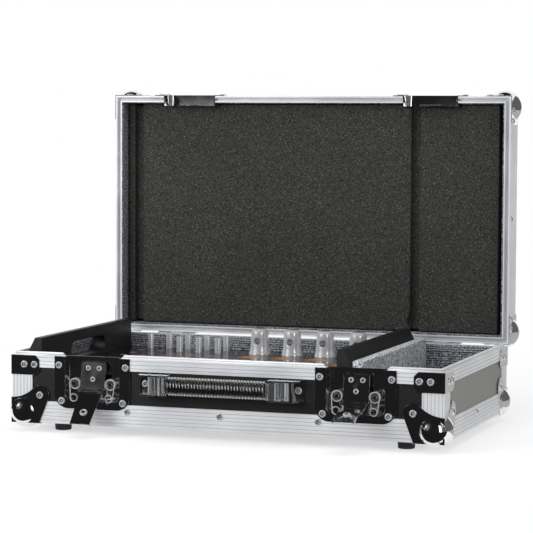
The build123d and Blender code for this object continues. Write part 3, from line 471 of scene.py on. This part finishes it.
def turned_piece(name, profile, steps):
    """A closed shape turned about Z from (radius, height) points, by spinning a line of vertices."""
    mesh = bpy.data.meshes.new(name)
    mesh.from_pydata([(r, 0, z) for r, z in profile], [(i, i + 1) for i in range(len(profile) - 1)], [])
    piece = placed(name, mesh)
    take_up(piece)
    bpy.ops.object.mode_set(mode="EDIT")
    bpy.ops.mesh.select_all(action="SELECT")
    bpy.ops.mesh.spin(steps=steps, angle=2 * math.pi, center=(0, 0, 0), axis=(0, 0, 1))
    bpy.ops.mesh.select_all(action="SELECT")
    bpy.ops.mesh.remove_doubles(threshold=1e-7)
    bpy.ops.mesh.normals_make_consistent(inside=False)
    bpy.ops.object.mode_set(mode="OBJECT")
    bpy.ops.object.shade_smooth_by_angle(angle=math.radians(HEAD_SMOOTH))
    return piece


def islands(node):
    """The separate solids of a CAD node, each as a list of points."""
    work = bmesh.new()
    work.from_mesh(nodes[node].data)
    bmesh.ops.remove_doubles(work, verts=work.verts, dist=1e-6)
    seen_verts, groups = set(), []
    for start in work.verts:
        if start in seen_verts:
            continue
        stack, group = [start], []
        seen_verts.add(start)
        while stack:
            vert = stack.pop()
            group.append(vert.co.copy())
            for edge in vert.link_edges:
                other = edge.other_vert(vert)
                if other not in seen_verts:
                    seen_verts.add(other)
                    stack.append(other)
        groups.append(group)
    work.free()
    return groups


def rivet_places(node, radius=None):
    """Where each rivet's head sits, which way it faces, its radius and its height."""
    found = []
    for points in islands(node):
        low = Vector([min(p[i] for p in points) for i in range(3)])
        high = Vector([max(p[i] for p in points) for i in range(3)])
        size, middle = high - low, (high + low) / 2
        axis = max(range(3), key=lambda i: abs(size[i] - (sum(size) - size[i]) / 2))
        across = [i for i in range(3) if i != axis]
        reach = max(size[i] for i in across) / 2
        rim_square = (HEAD_RIM * reach) ** 2
        rim = [p[axis] for p in points if sum((p[i] - middle[i]) ** 2 for i in across) > rim_square]
        seat = sum(rim) / len(rim)
        way = Vector((0, 0, 0))
        way[axis] = 1 if seat > middle[axis] else -1
        place = middle.copy()
        place[axis] = seat
        found.append((place, way, radius * MM if radius else reach, reach))
    return found


def set_heads(name, body, places, node=None):
    """One joined piece with a turned head at each place; the hollow of each head is painted near black as
    painted shade.
    """
    pattern = turned_piece(name + "_pattern", HEAD_PROFILE, HEAD_STEPS)
    for face in pattern.data.polygons:
        middle = math.hypot(face.center.x, face.center.y)
        in_hollow = HOLLOW_INNER < middle < HOLLOW_OUTER and face.center.z < HOLLOW_TOP
        face.material_index = 1 if in_hollow else 0
    work = bmesh.new()
    for place, way, radius, height in places:
        copy = bmesh.new()
        copy.from_mesh(pattern.data)
        turn = way.to_track_quat("Z", "Y").to_matrix().to_4x4()
        copy.transform(Matrix.Translation(place) @ turn @ Matrix.Diagonal((radius, radius, height, 1)))
        mesh = bpy.data.meshes.new("head")
        copy.to_mesh(mesh)
        copy.free()
        work.from_mesh(mesh)
        bpy.data.meshes.remove(mesh)
    made = bpy.data.meshes.new(name)
    work.to_mesh(made)
    work.free()
    piece = placed(name, made)
    bpy.data.objects.remove(pattern)
    take_up(piece)
    bpy.ops.object.shade_smooth_by_angle(angle=math.radians(HEAD_SMOOTH))
    paint(piece, rivet_steel, painted_hollow_shade)
    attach(piece, body)
    if node:
        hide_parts(node)
    return piece


set_heads("base_rivet_heads", "base", rivet_places("base_rivets", HEAD_RADIUS), "base_rivets")
set_heads("rail_screw_heads", "base", rivet_places("base_rail_screws", HEAD_RADIUS), "base_rail_screws")
set_heads("lid_rivet_heads", "lid", rivet_places("lid_rivets", HEAD_RADIUS), "lid_rivets")

# Latches: pressed dishes with a rounded flange, a riveted hook plate and a folded lever on a pin, all bright
# plated. Each spring is a wire wound in three turns, which reaches down to an eye beside the lever's pin.

dressed("latch_dishes", "latch_dish_pressings", "base", plated, 0.6, 3)
dressed("lid_latch_keepers", "lid_dish_pressings", "lid", plated, 0.15)
LATCH_LEFT, LATCH_RIGHT = -186.0, 186.0
PIVOT_Y, PIVOT_Z = -180.5, 59.0
STUD_REACH, STUD_RADIUS, STUD_HEIGHT = 36.0, 5.4, 5.2
HOOK_FACE_Y, HOOK_FACE_Z, HOOK_SLOPE = -177.8, 62.0, 6
HOOK_RIVETS = ((-7.5, 90.5), (8.5, 90.5), (0.0, 75.7))
HOOK_RIVET_RADIUS, HOOK_RIVET_HEIGHT = 3.7, 3.4
for side, latch, shown in (("left", LATCH_LEFT, 45.0), ("right", LATCH_RIGHT, 74.0)):
    hook, lever = f"latch_{side}_hook", f"latch_{side}_lever"
    dressed(hook, f"{side}_hook_plate", hook, plated, 0.35)
    dressed(lever, f"{side}_lever_tongue", lever, plated, 0.35)
    lean = Vector((0, -HOOK_SLOPE, 1)).normalized()
    hook_heads = []
    for dx, z in HOOK_RIVETS:
        place = Vector((latch + dx, HOOK_FACE_Y + (z - HOOK_FACE_Z) / HOOK_SLOPE, z)) * MM
        hook_heads.append((place, lean, HOOK_RIVET_RADIUS * MM, HOOK_RIVET_HEIGHT * MM))
    set_heads(f"{side}_hook_rivet_heads", hook, hook_heads)
    sine, cosine = math.sin(math.radians(shown)), math.cos(math.radians(shown))
    stud = Vector((latch, PIVOT_Y - cosine - STUD_REACH * sine, PIVOT_Z + sine - STUD_REACH * cosine)) * MM
    stud_head = (stud, Vector((0, -cosine, sine)), STUD_RADIUS * MM, STUD_HEIGHT * MM)
    set_heads(f"{side}_lever_stud", lever, [stud_head])
# The lever pins are painted a tan brown that stands for a tan reflection on them: a painted reflection.
lever_pin_tan_reflection = mottled("pin_painted_tan_reflection", (0.20, 0.15, 0.11), (0.42, 0.34, 0.27), 220, (0.2, 0.4))
paint(nodes["latch_lever_pins"], lever_pin_tan_reflection)

WIRE_SIDES = 3


def wire(name, routes, radius):
    """Round wire along each route of points, made as a curve and turned into a mesh."""
    curve = bpy.data.curves.new(name, "CURVE")
    curve.dimensions = "3D"
    curve.bevel_depth = radius
    curve.bevel_resolution = WIRE_SIDES
    curve.use_fill_caps = True
    for route in routes:
        line = curve.splines.new("POLY")
        line.points.add(len(route) - 1)
        for point, spot in zip(line.points, route):
            point.co = (*spot, 1)
    take_up(placed(name, curve))
    bpy.ops.object.convert(target="MESH")
    piece = bpy.context.object
    bpy.ops.object.shade_smooth_by_angle(angle=math.radians(50))
    return piece


COIL_STEPS = 28


def coil_points(x, y, z, way, radius, rise, start, count):
    """Points of a coil about Y, which comes forward by its rise in each turn, from a starting angle."""
    points = []
    for step in range(count):
        angle = start + 2 * math.pi * step / COIL_STEPS
        aside, down = way * radius * math.cos(angle), radius * math.sin(angle)
        points.append((x + aside, y - rise * step / COIL_STEPS, z - down))
    return points


COIL_OUT, COIL_Z, COIL_RING, COIL_WIRE, COIL_BACK, COIL_RISE = 25.8, 69.0, 7.0, 0.75, -172.4, 1.65
COIL_POINTS, EYE_POINTS = 3 * COIL_STEPS + 15, 36
EYE_OUT, EYE_Z, EYE_RING, EYE_Y, EYE_RISE = 25.6, 50.5, 5.0, -180.4, 1.6
ARM_OUT, ARM_Z, ARM_BACK = 20.8, 52.0, 0.6
coil_routes = []
for latch in (LATCH_LEFT, LATCH_RIGHT):
    for way in (-1, 1):
        coil_x, eye_x = latch + way * COIL_OUT, latch + way * EYE_OUT
        ring = coil_points(coil_x, COIL_BACK, COIL_Z, way, COIL_RING, COIL_RISE, math.pi, COIL_POINTS)
        eye = coil_points(eye_x, EYE_Y, EYE_Z, way, EYE_RING, EYE_RISE, 0, EYE_POINTS)
        route = [(latch + way * ARM_OUT, COIL_BACK - ARM_BACK, ARM_Z), *ring, *eye]
        coil_routes.append([tuple(value * MM for value in spot) for spot in route])
latch_coils = wire("latch_spring_wires", coil_routes, COIL_WIRE * MM)
paint(latch_coils, rivet_steel)
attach(latch_coils, "base")
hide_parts("latch_springs")

# Handle: a steel spring sleeve over a black core between clear moulded ends, on pins in folded brackets.

dressed("handle_brackets", "handle_bracket_pair", "base", plated, 0.35, 3)
dressed("handle_pins", "handle_pin_set", "base", rivet_steel, 0.2)
core_black = speckled("core_black", (0.006, 0.006, 0.006), (0.02, 0.02, 0.02), 900, 0.1, 0.6)
paint(nodes["handle_grip_core"], core_black)
GRIP_HALF, GRIP_Y, GRIP_Z = 70.0, -194.0, 73.5
SLEEVE_RING, SLEEVE_WIRE, SLEEVE_PITCH, SLEEVE_STEPS = 11.05, 1.6, 4.3, 32
turns = (2 * GRIP_HALF - 2 * SLEEVE_WIRE) / SLEEVE_PITCH
grip_route = []
for step in range(int(turns * SLEEVE_STEPS) + 1):
    angle = 2 * math.pi * step / SLEEVE_STEPS
    along = SLEEVE_WIRE - GRIP_HALF + SLEEVE_PITCH * step / SLEEVE_STEPS
    forward, up = GRIP_Y + SLEEVE_RING * math.cos(angle), GRIP_Z + SLEEVE_RING * math.sin(angle)
    grip_route.append((along * MM, forward * MM, up * MM))
sleeve = wire("grip_spring", [grip_route], SLEEVE_WIRE * MM)
wire_steel = mottled("drawn_wire", (0.66, 0.64, 0.62), (0.88, 0.87, 0.86), 160, (0.1, 0.22))
paint(sleeve, wire_steel)
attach(sleeve, "handle")
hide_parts("handle_spring_sleeve")
clear_end = mottled("clear_plastic", (0.50, 0.51, 0.52), (0.66, 0.67, 0.68), 60, (0.04, 0.12), 0.0)
end_shader = clear_end.node_tree.nodes["Principled BSDF"]
end_shader.inputs["IOR"].default_value = 1.49
end_shader.inputs["Transmission Weight"].default_value = 0.96
dressed("handle_ends", "clear_handle_ends", "handle", clear_end, 1.2, 3)

# Hinges: plated stop hinges outside the back, each with two leaves, knuckles and a pin.

hinge_steel = mottled("hinge_steel", (0.55, 0.56, 0.57), (0.78, 0.78, 0.79), 120, (0.18, 0.34))
dressed("hinge_base_leaves", "base_hinge_leaves", "base", hinge_steel)
dressed("hinge_lid_leaves", "lid_hinge_leaves", "lid", hinge_steel)
dressed("hinge_pins", "hinge_pin_set", "base", hinge_steel, 0.2)

# Feet: black rubber buttons, turned with a small radius and held by a screw up into the floor.

rubber = speckled("foot_rubber", (0.008, 0.008, 0.008), (0.02, 0.02, 0.02), 500, 0.1, 0.7)
dressed("feet", "rubber_feet", "base", rubber, 0.7, 3)
dressed("foot_screws", "foot_screw_set", "base", rivet_steel, 0.2)

# Linings of the base: ribbed grey carpet felt glued to the floor and the walls, and a board in plain pale
# felt that walls off the side compartment.

FELT_SPECULAR, FELT_DETAIL = 0.1, 4
felt_grey = speckled("ribbed_felt", (0.045, 0.05, 0.062), (0.62, 0.64, 0.68), 560, 0.9, 1.0, FELT_SPECULAR,
                     FELT_DETAIL, (0.42, 0.70), 3.4)
wall_felt = dressed("base_felt", "base_felt_lining", "base", felt_grey, 0.5)


def felt_strips(name, boxes, body, material):
    """Strips of felt, each between limits along X, Y and Z in millimetres, with rounded edges."""
    work = bmesh.new()
    for limits in boxes:
        middle = Vector([sum(pair) / 2 for pair in limits]) * MM
        spans = [(pair[1] - pair[0]) * MM for pair in limits]
        bmesh.ops.create_cube(work, size=1, matrix=Matrix.Translation(middle) @ Matrix.Diagonal((*spans, 1)))
    bmesh.ops.bevel(work, geom=work.edges[:], offset=0.35 * MM, segments=2, affect="EDGES")
    mesh = bpy.data.meshes.new(name)
    work.to_mesh(mesh)
    work.free()
    piece = placed(name, mesh)
    take_up(piece)
    bpy.ops.object.shade_smooth_by_angle(angle=math.radians(SMOOTH_BELOW))
    paint(piece, material)
    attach(piece, body)
    return piece


# The felt turns up over the inner leg of the closing rails, at the back and both sides.
RIM = (95.2, 105.2)
LEFT_LEG, RIGHT_LEG, LEG_LENGTH = (-294.8, -293.6), (293.6, 294.8), (-294.6, 294.6)
felt_strips("base_felt_rim", [
    (LEG_LENGTH, (166.1, 167.3), RIM),
    (LEFT_LEG, (-160.0, 165.9), RIM),
    (RIGHT_LEG, (-160.0, 165.9), RIM),
], "base", felt_grey)
pale_felt = speckled("pale_felt", (0.12, 0.124, 0.13), (0.86, 0.87, 0.90), 470, 0.9, 1.0, FELT_SPECULAR,
                     FELT_DETAIL, (0.38, 0.66))
divider = dressed("compartment_divider", "felted_divider", "base", pale_felt, 1.6, 4)
DIVIDER_TOP_FROM, DIVIDER_RAISE, DIVIDER_TOP_REACH = 106.0, 4.5, 158.0
for vert in divider.data.vertices:
    if vert.co.z > DIVIDER_TOP_FROM * MM:
        vert.co.z += DIVIDER_RAISE * MM
        vert.co.y = max(-DIVIDER_TOP_REACH * MM, min(DIVIDER_TOP_REACH * MM, vert.co.y))

# Tray: a drilled board with a gloss black face over a lower deck, between two matt black end panels with hand
# holes. The raw tan wood of the board shows in the walls of its holes.

tray_gloss = speckled("tray_gloss", (0.005, 0.005, 0.005), (0.012, 0.012, 0.012), 500, 0.02, 0.12)
raw_wood = mottled("raw_wood", (0.36, 0.17, 0.09), (0.66, 0.38, 0.24), 260, (0.8, 0.8), 0.0)
board = dressed("tray_board", "tray_drilled_board", "tray", tray_gloss, 0.5)
board.data.materials.append(raw_wood)
BOARD_LEFT, BOARD_RIGHT, BOARD_END = -0.268, 0.153, 0.159
for face in board.data.polygons:
    inside = BOARD_LEFT < face.center.x < BOARD_RIGHT and abs(face.center.y) < BOARD_END
    face.material_index = 1 if inside and abs(face.normal.z) < 0.9 else 0
dressed("tray_lower_deck", "tray_deck", "tray", tray_gloss, 0.25)
panel_black = speckled("tray_panel_black", (0.006, 0.006, 0.006), (0.026, 0.026, 0.024), 420, 0.3, 0.5,
                       detail=5)
dressed("tray_left_panel", "tray_end_left", "tray", panel_black, 0.5)
dressed("tray_right_panel", "tray_end_right", "tray", panel_black, 0.5)
set_heads("tray_screw_heads", "tray", rivet_places("tray_screws"), "tray_screws")

# Stand adapters: turned steel spigots with a chamfered head, two fine turned grooves, a slight flare to the
# foot and a cross hole for a locking pin.

BOARD_TOP, ADAPTER_Y, ADAPTER_X = 86.3, 121.0, (-50.0, 0.0, 50.0, 100.0)
SPIGOT = [(0, 36.2), (9.9, 36.2), (10.5, 35.9), (11.9, 33.6), (12.3, 32.6), (12.6, 28.0), (12.4, 27.8)]
SPIGOT += [(12.4, 27.5), (12.7, 27.3), (13.1, 19.0), (13.5, 12.0), (14.1, 7.0), (14.8, 4.2), (14.6, 3.9)]
SPIGOT += [(15.0, 3.5), (15.4, 2.0), (15.7, 1.2), (15.7, -39.5), (15.2, -39.85), (0, -39.85)]
CROSS_RADIUS, CROSS_LENGTH, CROSS_Z = 5.0, 60, 19.0
turned_steel, turned_nodes, turned_links, turned_shader = new_material("turned_steel", metallic=0.5)
lathe_place = turned_nodes.new("ShaderNodeTexCoord")
lathe_stretch = turned_nodes.new("ShaderNodeMapping")
lathe_stretch.inputs["Scale"].default_value = (40, 40, 1400)
turned_links.new(lathe_place.outputs["Object"], lathe_stretch.inputs["Vector"])
lathe_lines = noise(turned_nodes, turned_links, lathe_stretch.outputs[0], 1.0)
lathe_polish = rescale(turned_nodes, turned_links, lathe_lines, onto=(0.14, 0.24))
turned_links.new(lathe_polish, turned_shader.inputs["Roughness"])
lathe_tone = tones(turned_nodes, turned_links, lathe_lines, (0.68, 0.68, 0.68), (0.90, 0.90, 0.90))
turned_links.new(lathe_tone.outputs[2], turned_shader.inputs["Base Color"])
relief(turned_nodes, turned_links, turned_shader, lathe_lines, 0.4, 0.06)

spigot = turned_piece("spigot_pattern", [(r * MM, z * MM) for r, z in SPIGOT], 72)
bpy.ops.mesh.primitive_cylinder_add(vertices=40, radius=CROSS_RADIUS * MM, depth=CROSS_LENGTH * MM,
                                    location=(0, 0, CROSS_Z * MM), rotation=(math.pi / 2, 0, 0))
drill = bpy.context.object
take_up(spigot)
cross_hole = spigot.modifiers.new("cross_hole", "BOOLEAN")
cross_hole.operation = "DIFFERENCE"
cross_hole.solver = "EXACT"
cross_hole.object = drill
bpy.ops.object.modifier_apply(modifier="cross_hole")
bpy.data.objects.remove(drill)
spigot_edges = spigot.modifiers.new("edges", "BEVEL")
spigot_edges.width = 0.35 * MM
spigot_edges.segments = 2
spigot_edges.limit_method = "ANGLE"
spigot_edges.angle_limit = math.radians(50)
bpy.ops.object.modifier_apply(modifier="edges")
bpy.ops.object.shade_smooth_by_angle(angle=math.radians(SMOOTH_BELOW))
paint(spigot, turned_steel)
for number, across in enumerate(ADAPTER_X, 1):
    adapter = placed(f"stand_adapter_{number}", spigot.data.copy())
    adapter.data.transform(Matrix.Translation((across * MM, ADAPTER_Y * MM, BOARD_TOP * MM)))
    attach(adapter, f"spigot_{number}")
    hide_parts(f"spigot_{number}")
bpy.data.objects.remove(spigot)

# Round pins: ground and plated rod with small chamfers, standing loose in the small holes.

PIN_COUNT = 8
pin_chrome = mottled("ground_pin", (0.84, 0.85, 0.86), (0.95, 0.95, 0.95), 90, (0.08, 0.16), 0.62)
for number in range(1, PIN_COUNT + 1):
    dressed(f"pin_{number}", f"round_pin_{number}", f"pin_{number}", pin_chrome)

# Lining of the lid: ribbed felt round the walls and dark grey foam cut in blocks, with a groove over each end
# panel of the tray and an oval pocket at the foot of the right groove.

foam_dark, foam_nodes, foam_links, foam_shader = new_material("open_foam", roughness=1.0, specular=0.15)
foam_place = foam_nodes.new("ShaderNodeTexCoord").outputs["Object"]
foam_grain = noise(foam_nodes, foam_links, foam_place, 620, 4)
foam_wide = noise(foam_nodes, foam_links, foam_place, 9)
foam_cells = foam_nodes.new("ShaderNodeTexVoronoi")
foam_cells.inputs["Scale"].default_value = 260
foam_links.new(foam_place, foam_cells.inputs["Vector"])
foam_spread = rescale(foam_nodes, foam_links, foam_grain, (0.34, 0.7))
foam_tone = tones(foam_nodes, foam_links, foam_spread, (0.016, 0.0155, 0.014), (0.072, 0.070, 0.065))
# Bright specks painted into the foam's colour at the cell centres stand for glints of light: painted
# highlights.
foam_glint = rescale(foam_nodes, foam_links, foam_cells.outputs["Distance"], (0.16, 0.05))
foam_painted_glints = tones(foam_nodes, foam_links, foam_glint, (0, 0, 0), (0.30, 0.31, 0.31))
foam_links.new(foam_tone.outputs[2], foam_painted_glints.inputs[6])
foam_shade = rescale(foam_nodes, foam_links, foam_wide, onto=(0.82, 1.18))
foam_colour = shaded(foam_nodes, foam_links, foam_painted_glints.outputs[2], foam_shade)
foam_links.new(foam_colour, foam_shader.inputs["Base Color"])
relief(foam_nodes, foam_links, foam_shader, foam_grain, 0.7, 0.9)

foam = dressed("lid_foam", "lid_foam_blocks", "lid", foam_dark, 1.8, 4)
FOAM_LOW, FOAM_HIGH = 119.3, 449.9
GROOVES = ((-281.2, -267.8), (153.3, 166.7))
GROOVE_FLOOR_Y, GROOVE_FLOOR_THICK, GROOVE_FLOOR_TUCK, GROOVE_END_GAP = 215.0, 3.0, 4, 6
POCKET_PLACE, POCKET_RADII = (157.5, 204.2, 134.5), (8.6, 10, 12)
strips = bmesh.new()
for left, right in GROOVES:
    middle = Vector(((left + right) / 2, GROOVE_FLOOR_Y, (FOAM_LOW + FOAM_HIGH) / 2)) * MM
    width, length = right - left + GROOVE_FLOOR_TUCK, FOAM_HIGH - FOAM_LOW - GROOVE_END_GAP
    spans = Vector((width, GROOVE_FLOOR_THICK, length)) * MM
    bmesh.ops.create_cube(strips, size=1, matrix=Matrix.Translation(middle) @ Matrix.Diagonal((*spans, 1)))
strip_mesh = bpy.data.meshes.new("groove_floors")
strips.to_mesh(strip_mesh)
strips.free()
groove_floors = placed("groove_floors", strip_mesh)
paint(groove_floors, foam_dark)
bpy.ops.mesh.primitive_uv_sphere_add(segments=32, ring_count=20, radius=1, location=Vector(POCKET_PLACE) * MM)
pocket = bpy.context.object
pocket.scale = Vector(POCKET_RADII) * MM
take_up(foam)
groove_floors.select_set(True)
bpy.ops.object.join()
carve = foam.modifiers.new("pocket", "BOOLEAN")
carve.operation = "DIFFERENCE"
carve.solver = "EXACT"
carve.use_self = True
carve.object = pocket
bpy.ops.object.modifier_apply(modifier="pocket")
bpy.data.objects.remove(pocket)
foam.data.validate()
lid_felt_pale = speckled("rim_felt", (0.03, 0.03, 0.035), (0.5, 0.5, 0.53), 480, 0.9, 1.0, FELT_SPECULAR,
                         FELT_DETAIL, (0.42, 0.66))
WALL_FELT, FELT_FOOT, FELT_SIDE, FELT_HEAD = (196.0, 221.7), (115.6, 118.1), (118.1, 451.1), (451.1, 453.6)
lid_lining = felt_strips("lid_felt_lining", [
    ((-296.5, 296.5), WALL_FELT, FELT_FOOT),
    ((-296.5, -294.0), WALL_FELT, FELT_SIDE),
    ((294.0, 296.5), WALL_FELT, FELT_SIDE),
    ((-296.5, -227.5), WALL_FELT, FELT_HEAD),
    ((-144.5, 144.5), WALL_FELT, FELT_HEAD),
    ((227.5, 296.5), WALL_FELT, FELT_HEAD),
], "lid", lid_felt_pale)
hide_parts("lid_felt")
LID_RIM = (186.0, 195.8)
felt_strips("lid_felt_rim", [
    (LEG_LENGTH, LID_RIM, (117.3, 118.5)),
    (LEFT_LEG, LID_RIM, (118.7, 450.5)),
    (RIGHT_LEG, LID_RIM, (118.7, 450.5)),
], "lid", lid_felt_pale)
